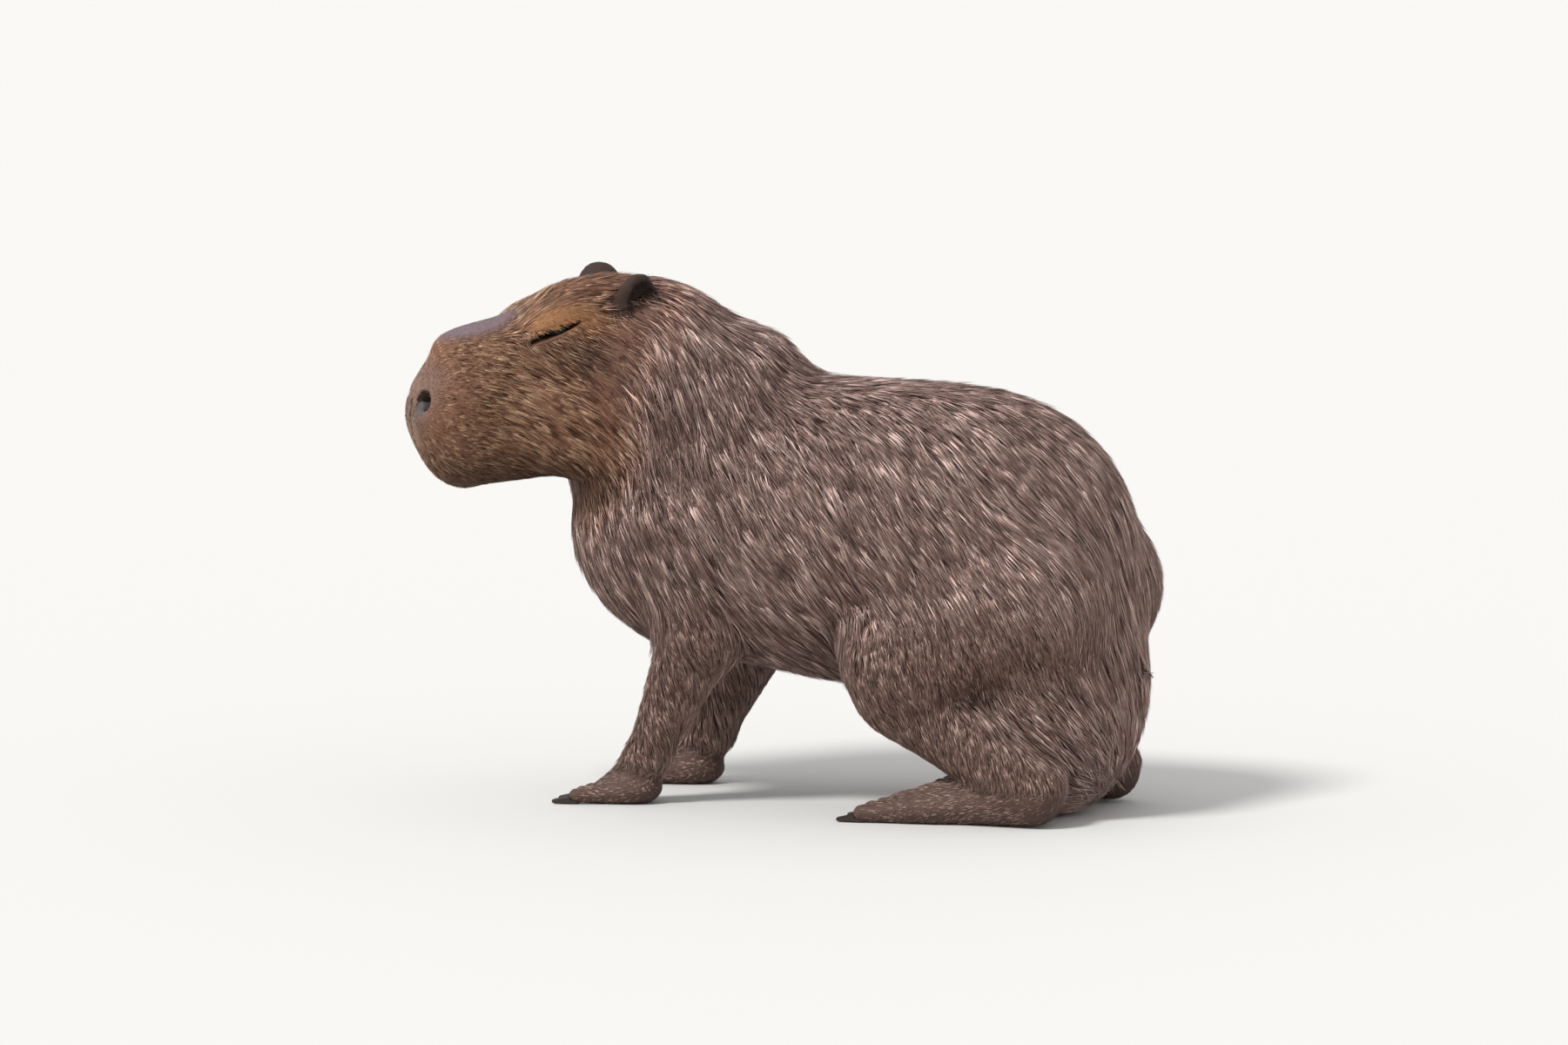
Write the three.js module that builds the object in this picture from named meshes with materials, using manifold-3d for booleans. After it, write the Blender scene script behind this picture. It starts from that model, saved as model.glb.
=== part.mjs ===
// A life-size capybara at rest on its haunches, forelegs upright, the head level and turned to its left.
// Millimetres, +Z up. The trunk faces -X on the plane Y = 0, and the floor is Z = 0.
// Every form is a blend of ellipsoids and round cones, each body part a closed skin drawn round its form.
import * as THREE from "three";
import { mergeVertices } from "three/addons/utils/BufferGeometryUtils.js";
import Module from "manifold-3d";

const wasm = await Module();
wasm.setup();

// Driving dimensions
const GAP = 0.3;
const FLOOR_BELOW = 60;
const FLOOR_SPAN = 3000;
const BACK_HEIGHT = 450;
const HALF_GIRTH = 158;
const HEAD_TURN = 40;
const HEAD_AT = { x: -200, y: -38 };
const FORELEG_Y = 86;
const HINDLEG_Y = 112;

// Trunk forms, ellipsoids: the withers, the barrel, the rump and the seat that rests on the floor
const trunkForms = [
  ball([-112, 0, 298], [152, 146, 150]),
  ball([50, 0, BACK_HEIGHT - 162], [225, HALF_GIRTH, 162]),
  ball([186, 0, BACK_HEIGHT - 177], [176, HALF_GIRTH - 2, 170]),
  ball([266, 0, 140], [108, 128, 161]),
];
const trunkSoftness = 45;

// Neck forms, round cones from the head down and back: the nape, its crest of fur and the throat
const neckForms = [
  cone([-178, -30, 459], 84, [-76, 0, 345], 126),
  cone([-158, -24, 433], 104, [-108, -10, 404], 116),
  cone([-172, -34, 415], 98, [-118, -6, 330], 136),
];
const neckSoftness = 40;

// Head forms in the head's own frame: x forward from between the ears, y to the animal's left, z up
const crown = ball([5, 0, 458], [98, 70, 97]);
const noseBridge = cone([60, 0, 478], 63, [178, 0, 434], 42);
const upperLip = cone([110, 0, 420], 59, [180, 0, 397], 43);
const lowerJaw = cone([55, 0, 398], 60, [168, 0, 371], 42);
const morrillo = ball([150, 0, 478], [52, 32, 23]);
const cheek = mirrored((side) => ball([42, 36 * side, 408], [66, 42, 66]));
const brow = mirrored((side) => ball([72, 44 * side, 492], [50, 29, 31]));
const muzzlePad = mirrored((side) => ball([182, 22 * side, 410], [40, 30, 38]));
const headSoftness = 26;

// The eye, nearly closed, its corner creased forward and down
const EYE = { x: 86, y: 58, z: 501, radius: 13, tilt: 21 };
const lidSize = { long: 31, deep: 15, high: 17 };
const slitSize = { long: 23, deep: 20, high: 2.6 };

// The nostril, a comma under the bald top of the nose, and the grooves of the mouth and the split lip
const NOSTRIL = { x: 218, y: 25, z: 424, long: 13, deep: 8, high: 6, toe: 40, dip: 35 };
const grooveWidth = 3.5;
const grooveDepth = 6;
const mouth = { x: 165, z: 356, length: 120, spread: 140, rise: 12 };
const splitLip = { x: 222, z: 386, height: 74, depth: 60 };

// The ear: a short rounded flap with its cup turned out and back
const EAR = { x: 2, y: 58, z: 525, long: 27, thick: 15, high: 37, lean: 12, flare: 24, turn: 22 };
const cupSize = { long: 19, thick: 11, high: 26, out: 13, back: -3, up: 3 };

// Legs: joints as x, height above the floor and radius, from the trunk to the foot
const foreleg = {
  upper: cone([-98, FORELEG_Y, 285], 78, [-84, FORELEG_Y + 4, 190], 50),
  lower: cone([-84, FORELEG_Y + 4, 190], 46, [-146, FORELEG_Y, 55], 24),
  wrist: cone([-146, FORELEG_Y, 55], 24, [-164, FORELEG_Y, 24], 24),
  palm: ball([-168, FORELEG_Y, 16], [36, 30, 20]),
  axes: [
    [[-92, FORELEG_Y, 290], [-86, FORELEG_Y + 3, 200]],
    [[-90, FORELEG_Y + 3, 190], [-160, FORELEG_Y, 26]],
  ],
  softness: 16,
};
const hindleg = {
  thigh: cone([258, HINDLEG_Y - 32, 232], 100, [158, HINDLEG_Y + 2, 168], 70),
  knee: ball([142, HINDLEG_Y + 2, 165], [58, 46, 66]),
  shank: cone([150, HINDLEG_Y, 130], 48, [292, HINDLEG_Y, 44], 33),
  heel: cone([296, HINDLEG_Y, 30], 29, [190, HINDLEG_Y, 20], 24),
  sole: ball([176, HINDLEG_Y, 16], [44, 33, 20]),
  axes: [
    [[262, HINDLEG_Y - 30, 225], [150, HINDLEG_Y, 160]],
    [[292, HINDLEG_Y, 32], [176, HINDLEG_Y, 18]],
  ],
  softness: 18,
};

// Toes spread from the foot in a fan, each from a root to a tip of its own radius; claws are blunt hooves
const foreToes = {
  count: 4, x: -178, y: FORELEG_Y, height: 9, reach: 40, fan: 46, spread: 38, root: 11, tip: 8.5,
};
const hindToes = {
  count: 3, x: 160, y: HINDLEG_Y, height: 10, reach: 46, fan: 30, spread: 38, root: 13, tip: 10,
};
const KNUCKLE_RISE = 2;
const claw = { length: 17, root: 6.5, tip: 2.6, lift: 5, drop: 3 };

// The tail is only a nub under the rump
const tailAxis = [[340, 0, 178], [376, 0, 150]];
const tailForm = cone(tailAxis[0], 20, tailAxis[1], 9);

// The coat: a core this far inside the outline, and flat tapered locks rooted in it that reach out to it.
// Each lock has a few stations, with a share of its width and a height over the core at each of them.
const CORE_DEPTH = 11;
const lock = {
  length: 124,
  width: 50,
  thick: 9,
  widths: [0.6, 1, 0.8, 0.4],
  heights: [-12, 3, 8, 11, 11],
  fray: 0.18,
  sway: 11,
  shift: 20,
};
const neckLock = { ...lock, length: 96, heights: [-12, 3, 6, 7, 6] };
const thighLock = { ...lock, length: 96, width: 44, thick: 8, heights: [-12, 1, 4, 6, 6] };

// The lie of the hair: its dip from level, in degrees, on the flank, shoulder, rump and neck
const hairDip = { flank: 50, shoulder: 62, rump: 44, neck: 66 };
const hairSplay = 0.16;

// Where the lie passes from one part's to the next: ranges of x, and of height for the neck and the spine
const shoulderRange = [-120, 0];
const rumpRange = [180, 340];
const neckRange = [-130, -50];
const neckHeights = [330, 420];
const spineHeights = [300, 430];

// No locks on the belly, where the form faces down past this slope, near the floor or under the neck
const BARE_BELLY = -0.62;
const LOCKS_CLEAR_FLOOR = 22;
const LOCKS_CLEAR_NECK = 10;

// Rows of roots: locks around, along and over each end of the trunk, the neck and the thigh
const trunkRows = { around: 20, along: 5, cap: 4 };
const neckRows = { around: 12, along: 1, cap: 2 };
const thighRows = { around: 8, along: 1, cap: 1 };

// Mesh fineness: segments around, along and over each end
const trunkMesh = { around: 28, along: 9, cap: 5 };
const neckMesh = { around: 22, along: 4, cap: 4 };
const headMesh = { around: 30, along: 12, cap: 6 };
const limbMesh = { around: 10, along: 3, cap: 2 };
const toeMesh = { around: 5, along: 1, cap: 2 };
const eyeMesh = { around: 10, rings: 6 };
const earMesh = { around: 14, rings: 8 };

// Ray steps for finding a surface
const STEP = 4;
const REACH = 420;
const HALVINGS = 14;

const colours = {
  coat: { color: 0x6e5549, roughness: 0.85, metalness: 0 },
  face: { color: 0x96643c, roughness: 0.8, metalness: 0 },
  ear: { color: 0x322a1e, roughness: 0.75, metalness: 0 },
  eye: { color: 0x0a0807, roughness: 0.12, metalness: 0 },
  claw: { color: 0x2c2520, roughness: 0.5, metalness: 0 },
};

// Signed distances, near enough for blending: below zero inside
function ball(centre, radii) {
  const [cx, cy, cz] = centre;
  const [rx, ry, rz] = radii;
  return (p) => {
    const x = (p.x - cx) / rx;
    const y = (p.y - cy) / ry;
    const z = (p.z - cz) / rz;
    const reach = Math.hypot(x, y, z);
    const slope = Math.hypot(x / rx, y / ry, z / rz);
    return slope > 0 ? (reach * (reach - 1)) / slope : -Math.min(rx, ry, rz);
  };
}

function cone(a, ra, b, rb) {
  const axis = new THREE.Vector3(b[0] - a[0], b[1] - a[1], b[2] - a[2]);
  const length = axis.length();
  axis.normalize();
  const lean = (ra - rb) / length;
  const flat = Math.sqrt(1 - lean * lean);
  const from = new THREE.Vector3(...a);
  const q = new THREE.Vector3();
  return (p) => {
    q.copy(p).sub(from);
    const along = q.dot(axis);
    const out = Math.sqrt(Math.max(q.lengthSq() - along * along, 0));
    const at = THREE.MathUtils.clamp(along + (out * lean) / flat, 0, length);
    return Math.hypot(along - at, out) - (ra + ((rb - ra) * at) / length);
  };
}

function mirrored(make) {
  return [make(1), make(-1)];
}

function blend(forms, softness) {
  return (p) => {
    let d = Infinity;
    for (const form of forms) {
      const e = form(p);
      const near = Math.max(softness - Math.abs(d - e), 0) / softness;
      d = Math.min(d, e) - (near * near * softness) / 4;
    }
    return d;
  };
}

// The slope of a form at a point, which points straight out of it
const SLOPE_STEP = 0.5;

function outOf(form, p) {
  const q = p.clone();
  const here = form(p);
  const slope = ["x", "y", "z"].map((axis) => {
    q.copy(p)[axis] += SLOPE_STEP;
    return form(q) - here;
  });
  return new THREE.Vector3(...slope).normalize();
}

// The same draws each time
const SEED = 20;
const random = (() => {
  let state = SEED;
  return () => {
    state = (Math.imul(state, 1664525) + 1013904223) >>> 0;
    return state / 2 ** 32;
  };
})();

function around(middle, spread) {
  return middle * (1 + spread * (2 * random() - 1));
}

// Closed meshes and solids
function bare(geometry) {
  geometry.deleteAttribute("normal");
  geometry.deleteAttribute("uv");
  return mergeVertices(geometry);
}

function toSolid(geometry) {
  const index = geometry.getIndex().array;
  const kept = [];
  for (let i = 0; i < index.length; i += 3) {
    const [a, b, c] = [index[i], index[i + 1], index[i + 2]];
    if (a !== b && b !== c && c !== a) kept.push(a, b, c);
  }
  const vertProperties = new Float32Array(geometry.getAttribute("position").array);
  return new wasm.Manifold(new wasm.Mesh({ numProp: 3, vertProperties, triVerts: new Uint32Array(kept) }));
}

function largest(solid) {
  return solid.decompose().reduce((a, b) => (b.volume() > a.volume() ? b : a));
}

function toMesh(name, solid, finish) {
  const { vertProperties, triVerts } = largest(solid).getMesh();
  const geometry = new THREE.BufferGeometry();
  geometry.setAttribute("position", new THREE.BufferAttribute(vertProperties, 3));
  geometry.setIndex(new THREE.BufferAttribute(triVerts, 1));
  geometry.computeVertexNormals();
  const mesh = new THREE.Mesh(geometry, new THREE.MeshStandardMaterial(finish));
  mesh.name = name;
  return mesh;
}

// How far along a ray the form's surface lies, a little proud of it by level
function surfaceAlong(form, root, ray, level) {
  const p = new THREE.Vector3();
  let inside = 0;
  while (inside < REACH && form(p.copy(root).addScaledVector(ray, inside + STEP)) < level) inside += STEP;
  let outside = inside + STEP;
  for (let i = 0; i < HALVINGS; i++) {
    const middle = (inside + outside) / 2;
    if (form(p.copy(root).addScaledVector(ray, middle)) < level) inside = middle;
    else outside = middle;
  }
  return outside;
}

// A closed shell: each point of a capsule round the axis slides along its own ray to the form's surface
function shellOf(form, from, to, fineness, level) {
  const start = new THREE.Vector3(...from);
  const axis = new THREE.Vector3(...to).sub(start);
  const half = axis.length() / 2;
  const middle = start.addScaledVector(axis, 0.5);
  const turn = new THREE.Quaternion().setFromUnitVectors(new THREE.Vector3(0, 1, 0), axis.normalize());
  const { around, along, cap } = fineness;
  const shell = bare(new THREE.CapsuleGeometry(1, 2 * half, cap, around, along));
  const points = shell.getAttribute("position");
  const ray = new THREE.Vector3();
  const root = new THREE.Vector3();
  for (let i = 0; i < points.count; i++) {
    ray.fromBufferAttribute(points, i);
    root.set(0, THREE.MathUtils.clamp(ray.y, -half, half), 0);
    ray.sub(root).normalize().applyQuaternion(turn);
    root.applyQuaternion(turn).add(middle);
    root.addScaledVector(ray, surfaceAlong(form, root, ray, level));
    points.setXYZ(i, root.x, root.y, root.z);
  }
  return shell;
}

function wrap(form, from, to, fineness, level = 0) {
  return toSolid(shellOf(form, from, to, fineness, level));
}

function ellipsoid(radii, place, fineness) {
  const shape = bare(new THREE.SphereGeometry(1, fineness.around, fineness.rings));
  shape.scale(...radii);
  return toSolid(shape.applyMatrix4(place));
}

function block(size, place) {
  return toSolid(bare(new THREE.BoxGeometry(...size)).applyMatrix4(place));
}

function placed(at, turns = [0, 0, 0]) {
  const angles = turns.map(THREE.MathUtils.degToRad);
  return new THREE.Matrix4().makeRotationFromEuler(new THREE.Euler(...angles, "ZYX")).setPosition(...at);
}

function moved(solid, place) {
  return solid.transform(place.elements);
}

const floorBlock = block([FLOOR_SPAN, FLOOR_SPAN, FLOOR_BELOW], placed([0, 0, -FLOOR_BELOW / 2]));

function onFloor(solid) {
  return solid.subtract(floorBlock);
}

// Head, in its own frame
const headForm = blend(
  [crown, noseBridge, upperLip, lowerJaw, ...cheek, ...brow, ...muzzlePad, morrillo],
  headSoftness,
);
const headAxis = [[-10, 0, 448], [165, 0, 415]];

function eyePlace(side) {
  return placed([EYE.x, EYE.y * side, EYE.z], [0, EYE.tilt, 0]);
}

function earPlace(side) {
  return placed([EAR.x, EAR.y * side, EAR.z], [-EAR.flare * side, EAR.lean, EAR.turn * side]);
}

function earFlap(side, level = 0) {
  const radii = [EAR.long, EAR.thick, EAR.high].map((radius) => radius + level);
  return ellipsoid(radii, earPlace(side), earMesh);
}

function makeEar(side) {
  const inner = placed([cupSize.back, cupSize.out * side, cupSize.up]);
  const cup = ellipsoid([cupSize.long, cupSize.thick, cupSize.high], earPlace(side).multiply(inner), earMesh);
  return earFlap(side).subtract(cup);
}

function makeGrooves() {
  const core = wrap(headForm, ...headAxis, headMesh, -grooveDepth);
  const mouthPlace = placed([mouth.x, 0, mouth.z], [0, mouth.rise, 0]);
  const lipLine = block([mouth.length, mouth.spread, grooveWidth], mouthPlace);
  const split = block([splitLip.depth, grooveWidth, splitLip.height], placed([splitLip.x, 0, splitLip.z]));
  return lipLine.add(split).subtract(core);
}

function makeHead() {
  let head = wrap(headForm, ...headAxis, headMesh).subtract(makeGrooves());
  for (const side of [1, -1]) {
    const lid = ellipsoid([lidSize.long, lidSize.deep, lidSize.high], eyePlace(side), earMesh);
    const slit = ellipsoid([slitSize.long, slitSize.deep, slitSize.high], eyePlace(side), earMesh);
    const socket = ellipsoid(Array(3).fill(EYE.radius + GAP), eyePlace(side), eyeMesh);
    const nostrilPlace = placed([NOSTRIL.x, NOSTRIL.y * side, NOSTRIL.z], [0, NOSTRIL.dip, NOSTRIL.toe * side]);
    const nostril = ellipsoid([NOSTRIL.long, NOSTRIL.deep, NOSTRIL.high], nostrilPlace, eyeMesh);
    head = head.add(lid).subtract(slit).subtract(socket).subtract(nostril);
  }
  return head;
}

// Legs, made on the animal's left and mirrored to its right
function toesOf(toes) {
  const fan = [];
  for (let i = 0; i < toes.count; i++) {
    const share = i / (toes.count - 1) - 0.5;
    const angle = THREE.MathUtils.degToRad(toes.fan * share);
    const root = [toes.x, toes.y + toes.spread * share, toes.height + KNUCKLE_RISE];
    const tip = [
      root[0] - toes.reach * Math.cos(angle),
      root[1] + toes.reach * Math.sin(angle),
      toes.height,
    ];
    fan.push({ root, tip, angle });
  }
  return fan;
}

function makeToe(toes, { root, tip }, level = 0) {
  return wrap(cone(root, toes.root, tip, toes.tip), root, tip, toeMesh, level);
}

function makeClaw(toes, toe) {
  const { tip, angle } = toe;
  const end = [
    tip[0] - (toes.tip + claw.length - claw.tip) * Math.cos(angle),
    tip[1] + (toes.tip + claw.length - claw.tip) * Math.sin(angle),
    claw.drop,
  ];
  const start = [tip[0], tip[1], claw.lift];
  const hoof = wrap(cone(start, claw.root, end, claw.tip), start, end, toeMesh);
  return onFloor(hoof.subtract(makeToe(toes, toe, GAP)));
}

function makeLeg(parts, axes, softness, toes) {
  const form = blend(parts, softness);
  return axes
    .map(([from, to]) => wrap(form, from, to, limbMesh))
    .concat(toesOf(toes).map((toe) => makeToe(toes, toe)))
    .reduce((a, b) => a.add(b));
}

const mirrorY = new THREE.Matrix4().makeScale(1, -1, 1);

// The way the hair lies at a point: back and down, steeper on the neck, a little outward along the spine
function lieAt(p, sway) {
  const { smoothstep, lerp, degToRad } = THREE.MathUtils;
  const neck = (1 - smoothstep(p.x, ...neckRange)) * smoothstep(p.z, ...neckHeights);
  let dip = lerp(hairDip.flank, hairDip.shoulder, 1 - smoothstep(p.x, ...shoulderRange));
  dip = lerp(dip, hairDip.rump, smoothstep(p.x, ...rumpRange));
  dip = degToRad(lerp(dip, hairDip.neck, neck) + sway);
  const turn = degToRad(HEAD_TURN * neck);
  const outward = hairSplay * Math.sign(p.y) * smoothstep(p.z, ...spineHeights);
  return new THREE.Vector3(
    Math.cos(dip) * Math.cos(turn),
    Math.cos(dip) * Math.sin(turn) + outward,
    -Math.sin(dip),
  );
}

// One lock from its root: a diamond section that widens, thins and ends in a point, bent along the form
function makeLock(form, level, root, size) {
  const { widths, heights } = size;
  const length = around(size.length, size.fray);
  const width = around(size.width, size.fray);
  const sway = size.sway * (2 * random() - 1);
  const p = root.clone();
  const places = [];
  for (let i = 0; i < heights.length; i++) {
    const out = outOf(form, p);
    p.addScaledVector(out, level + heights[i] - form(p));
    const way = lieAt(p, sway);
    way.addScaledVector(out, -way.dot(out)).normalize();
    const share = widths[i] ?? 0;
    const side = new THREE.Vector3().crossVectors(out, way).multiplyScalar((width / 2) * share);
    out.multiplyScalar((size.thick / 2) * share);
    const corners = [p.clone().sub(side), p.clone().add(out), p.clone().add(side), p.clone().sub(out)];
    places.push(...(share > 0 ? corners : [p.clone()]));
    p.addScaledVector(way, length / (heights.length - 1));
  }
  const faces = [0, 1, 2, 0, 2, 3];
  const tip = places.length - 1;
  for (let ring = 0; ring < widths.length; ring++) {
    for (let i = 0; i < 4; i++) {
      const a = ring * 4 + i;
      const b = ring * 4 + ((i + 1) % 4);
      if (ring < widths.length - 1) faces.push(a, a + 4, b, b, a + 4, b + 4);
      else faces.push(a, tip, b);
    }
  }
  const geometry = new THREE.BufferGeometry().setFromPoints(places);
  geometry.setIndex(faces);
  return { solid: toSolid(geometry), places };
}

// Rows of locks over a form, without those that would be bare skin, reach the floor or cross a neighbour
function makeLocks(form, axis, rows, level, size, neighbours, covered) {
  const roots = shellOf(form, ...axis, rows, level).getAttribute("position");
  const kept = [];
  for (let i = 0; i < roots.count; i++) {
    const root = new THREE.Vector3().fromBufferAttribute(roots, i);
    const out = outOf(form, root);
    const along = lieAt(root, 0);
    root.addScaledVector(along.addScaledVector(out, -along.dot(out)), size.shift * (2 * random() - 1));
    const { solid, places } = makeLock(form, level, root, size);
    const low = places.some((p) => p.z < LOCKS_CLEAR_FLOOR);
    const crosses = neighbours.some((neighbour) => !solid.intersect(neighbour).isEmpty());
    if (out.z > BARE_BELLY && !low && !crosses && !covered(root)) kept.push(solid);
  }
  return kept;
}

// Assembly: what lies over a joint gives way to what it grows from, a hair's breadth clear of it
const trunkForm = blend(trunkForms, trunkSoftness);
const trunkAxis = [[-80, 0, 300], [240, 0, 235]];
const neckForm = blend(neckForms, neckSoftness);
const neckAxis = [[-180, -30, 430], [-100, -5, 350]];
const headPlace = new THREE.Matrix4()
  .makeRotationZ(THREE.MathUtils.degToRad(180 + HEAD_TURN))
  .setPosition(HEAD_AT.x, HEAD_AT.y, 0);
const headClear = wrap(headForm, ...headAxis, headMesh, GAP);
const headRoom = moved(headClear, headPlace);
const trunkRoom = wrap(trunkForm, ...trunkAxis, trunkMesh, GAP - CORE_DEPTH);
const earRoom = mirrored((side) => moved(earFlap(side, GAP), headPlace));
const group = new THREE.Group();

function joined(solid, others) {
  return wasm.Manifold.union([solid, ...others]);
}

function clearOf(solid, rooms) {
  return rooms.reduce((left, room) => left.subtract(room), solid);
}

// Neck, its locks lying back over the shoulders
const neckCore = wrap(neckForm, ...neckAxis, neckMesh, -CORE_DEPTH);
const overTrunk = (p) => trunkForm(p) < neckLock.length / 2;
const headAndEars = [headRoom, ...earRoom];
const neckLocks = makeLocks(neckForm, neckAxis, neckRows, -CORE_DEPTH, neckLock, headAndEars, overTrunk);
const neck = largest(clearOf(joined(neckCore, neckLocks), [trunkRoom, ...headAndEars]));
group.add(toMesh("neck", neck, colours.coat));

// Tail and legs, with locks on the thighs
const tail = wrap(tailForm, ...tailAxis, limbMesh).subtract(trunkRoom);
group.add(toMesh("tail", tail, colours.coat));
const limbs = [];
for (const [kind, leg, toes] of [["fore", foreleg, foreToes], ["hind", hindleg, hindToes]]) {
  const { axes, softness, ...parts } = leg;
  const forms = Object.values(parts);
  const plain = onFloor(makeLeg(forms, axes, softness, toes));
  const underTrunk = (p) => kind !== "hind" || trunkForm(p) < 0;
  const locks = makeLocks(blend(forms, softness), axes[0], thighRows, 0, thighLock, [], underTrunk);
  const limb = joined(plain, locks);
  const claws = toesOf(toes).map((toe) => makeClaw(toes, toe));
  for (const [name, flip] of [["right", false], ["left", true]]) {
    const turned = (solid) => (flip ? moved(solid, mirrorY) : solid);
    const solid = largest(turned(limb).subtract(trunkRoom));
    limbs.push(solid);
    group.add(toMesh(kind + "leg_" + name, solid, colours.coat));
    claws.forEach((piece, i) => {
      group.add(toMesh(kind + "claw_" + name + "_" + (i + 1), turned(piece), colours.claw));
    });
  }
}

// Torso
const trunkCore = onFloor(wrap(trunkForm, ...trunkAxis, trunkMesh, -CORE_DEPTH)).subtract(headRoom);
const beside = [headRoom, neck, tail, ...limbs];
const underNeck = (p) => neckForm(p) < LOCKS_CLEAR_NECK;
const trunkLocks = makeLocks(trunkForm, trunkAxis, trunkRows, -CORE_DEPTH, lock, beside, underNeck);
group.add(toMesh("torso", joined(trunkCore, trunkLocks), colours.coat));

// Head, ears and eyes
group.add(toMesh("head", moved(makeHead(), headPlace), colours.face));
for (const [name, side] of [["left", 1], ["right", -1]]) {
  const ear = makeEar(side).subtract(headClear);
  const eye = ellipsoid(Array(3).fill(EYE.radius), eyePlace(side), eyeMesh);
  group.add(toMesh("ear_" + name, moved(ear, headPlace), colours.ear));
  group.add(toMesh("eye_" + name, moved(eye, headPlace), colours.eye));
}

// The origin is the middle of the footprint, on the floor
const reach = new THREE.Box3().setFromObject(group);
const middle = reach.getCenter(new THREE.Vector3());
group.position.set(-middle.x, -middle.y, -reach.min.z);

export default group;
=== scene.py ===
# A capybara resting on its haunches, head level and turned to its left, as a museum shows it.
# The skin is one closed surface round the animal's forms, the coat is closed tapered tufts rooted in it.
# Forms and sizes are in millimetres in the animal's own design frame: the trunk faces -X on the plane Y = 0,
# and the floor is Z = 0.
import math
from concurrent.futures import ThreadPoolExecutor

import bmesh
import bpy
import numpy as np
import openvdb
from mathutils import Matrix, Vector, kdtree


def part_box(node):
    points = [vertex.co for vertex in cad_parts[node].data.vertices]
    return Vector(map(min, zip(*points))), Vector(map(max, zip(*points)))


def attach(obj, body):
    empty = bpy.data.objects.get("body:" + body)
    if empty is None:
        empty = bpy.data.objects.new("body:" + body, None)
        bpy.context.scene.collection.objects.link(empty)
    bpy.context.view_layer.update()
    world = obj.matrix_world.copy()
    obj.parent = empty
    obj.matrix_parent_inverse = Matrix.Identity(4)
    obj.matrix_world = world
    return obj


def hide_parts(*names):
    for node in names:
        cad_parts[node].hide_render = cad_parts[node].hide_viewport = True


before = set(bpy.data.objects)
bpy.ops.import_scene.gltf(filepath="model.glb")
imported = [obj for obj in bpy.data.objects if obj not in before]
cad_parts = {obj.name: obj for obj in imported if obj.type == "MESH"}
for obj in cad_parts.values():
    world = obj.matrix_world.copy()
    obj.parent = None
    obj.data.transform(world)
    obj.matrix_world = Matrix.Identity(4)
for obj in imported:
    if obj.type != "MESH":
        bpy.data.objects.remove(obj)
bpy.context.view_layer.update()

MM = 0.001
TINY = 1e-9
SEED = 7
rng = np.random.default_rng(SEED)


def vec(*values):
    return np.array(values, dtype=np.float32)


def norm(q):
    return np.sqrt(np.einsum("...i,...i->...", q, q))


# Driving dimensions, as in the solids
BACK_HEIGHT = 450
HALF_GIRTH = 158
HEAD_TURN = math.radians(40)
HEAD_AT = vec(-200, -38, 0)
FORELEG_Y = 86
HINDLEG_Y = 112
EYE = {"x": 86, "y": 58, "z": 501, "tilt": 21}
EAR = {"x": 2, "y": 58, "z": 525, "long": 27, "thick": 15, "high": 37}
EAR_TURNS = {"flare": 24, "lean": 12, "turn": 22}

FORWARD = vec(-math.cos(HEAD_TURN), -math.sin(HEAD_TURN), 0)
LEFT = vec(math.sin(HEAD_TURN), -math.cos(HEAD_TURN), 0)
UP = vec(0, 0, 1)
HEAD_AXES = np.stack([FORWARD, LEFT, UP], axis=1)


def to_head(p):
    """Points in the head's frame: x forward from between the ears, y to its left, z above the floor."""
    return (p - HEAD_AT) @ HEAD_AXES


def folded(p):
    """Points with those of the right side laid on the left."""
    q = p.copy()
    q[..., 1] = np.abs(q[..., 1])
    return q


def from_head(x, y, z):
    return HEAD_AT + FORWARD * x + LEFT * y + UP * z


# Where the design frame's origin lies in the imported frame, from the eye
eye_low, eye_high = (np.array(corner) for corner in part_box("eye_left"))
SHIFT = (eye_low + eye_high) / 2 / MM - from_head(EYE["x"], EYE["y"], EYE["z"])


def to_metres(p):
    return (p + SHIFT) * MM


WORKERS = 4
SHARE = 16000


def in_shares(form, p):
    """A form worked out for many points, a share of them at a time."""
    shares = np.array_split(p, max(1, len(p) // SHARE))
    with ThreadPoolExecutor(WORKERS) as pool:
        done = list(pool.map(form, shares))
    if isinstance(done[0], dict):
        return {name: np.concatenate([share[name] for share in done]) for name in done[0]}
    return np.concatenate(done)


# Distance forms: below zero inside
CENTRE_REACH = 1e-6


def ball(centre, radii):
    centre = vec(*centre)
    shrink = 1 / vec(*radii)

    def form(p):
        q = (p - centre) * shrink
        reach = norm(q) + CENTRE_REACH
        q *= shrink
        return reach * (reach - 1) / (norm(q) + TINY)

    return form


def cone(a, ra, b, rb):
    a = vec(*a)
    axis = vec(*b) - a
    length = float(np.linalg.norm(axis))
    axis /= length
    lean = (ra - rb) / length
    slope = lean / math.sqrt(1 - lean * lean)

    def form(p):
        q = p - a
        along = q @ axis
        out = np.sqrt(np.maximum(np.einsum("...i,...i->...", q, q) - along * along, 0))
        at = np.clip(along + out * slope, 0, length)
        return np.hypot(along - at, out) - (ra + (rb - ra) / length * at)

    return form


def soft_min(d, e, softness):
    near = np.maximum(softness - np.abs(d - e), 0) / softness
    return np.minimum(d, e) - near * near * softness / 4


def soft_cut(d, e, softness):
    """The form d without the form e, its edge rounded."""
    near = np.maximum(softness - np.abs(d + e), 0) / softness
    return np.maximum(d, -e) + near * near * softness / 4


def blend(forms, softness):
    def form(p):
        d = forms[0](p)
        for part in forms[1:]:
            d = soft_min(d, part(p), softness)
        return d

    return form


def both(make):
    return [make(1), make(-1)]


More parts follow.
